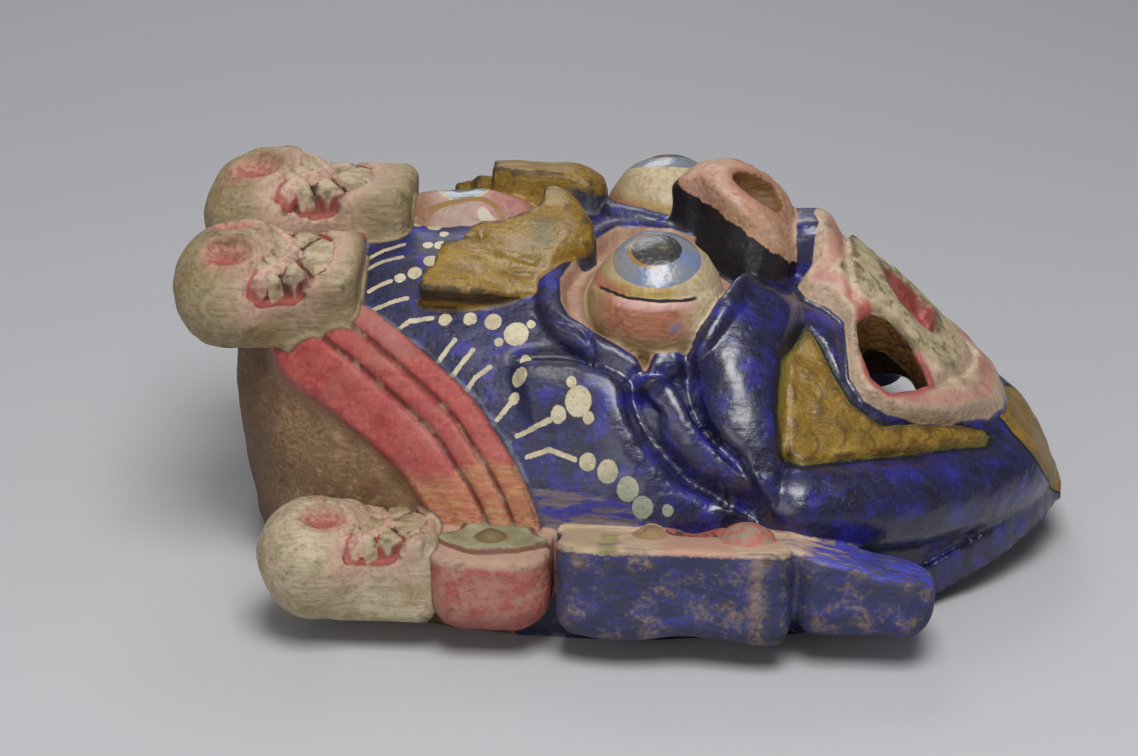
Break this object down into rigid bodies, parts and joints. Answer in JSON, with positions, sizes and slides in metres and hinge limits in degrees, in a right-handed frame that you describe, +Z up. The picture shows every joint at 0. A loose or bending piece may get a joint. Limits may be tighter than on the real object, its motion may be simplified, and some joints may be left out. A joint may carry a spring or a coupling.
{
  "type": "carved wooden dance mask",
  "caption": "Carved and painted wooden ritual dance mask of a wrathful guardian, with a crown of skulls, bulging eyes and an open fanged mouth, lying on its rim with the face up.",
  "frame": {"origin": "on the floor, under the centre of the mask's bounding box as it lies on its rim", "axes": "+X from the crown to the chin, +Y towards the mask's own left side, +Z up out of the face"},
  "size_m": [0.3102, 0.2563, 0.1366],
  "materials": {
    "painted_wood": "hand-painted carved wood: glossy ultramarine face, gold brows and beard, cream skulls, red crown band, worn blue ears, bare wood at the crown's back and inside"
  },
  "bodies": {
    "root": {"mask": "painted_wood"}
  },
  "joints": []
}
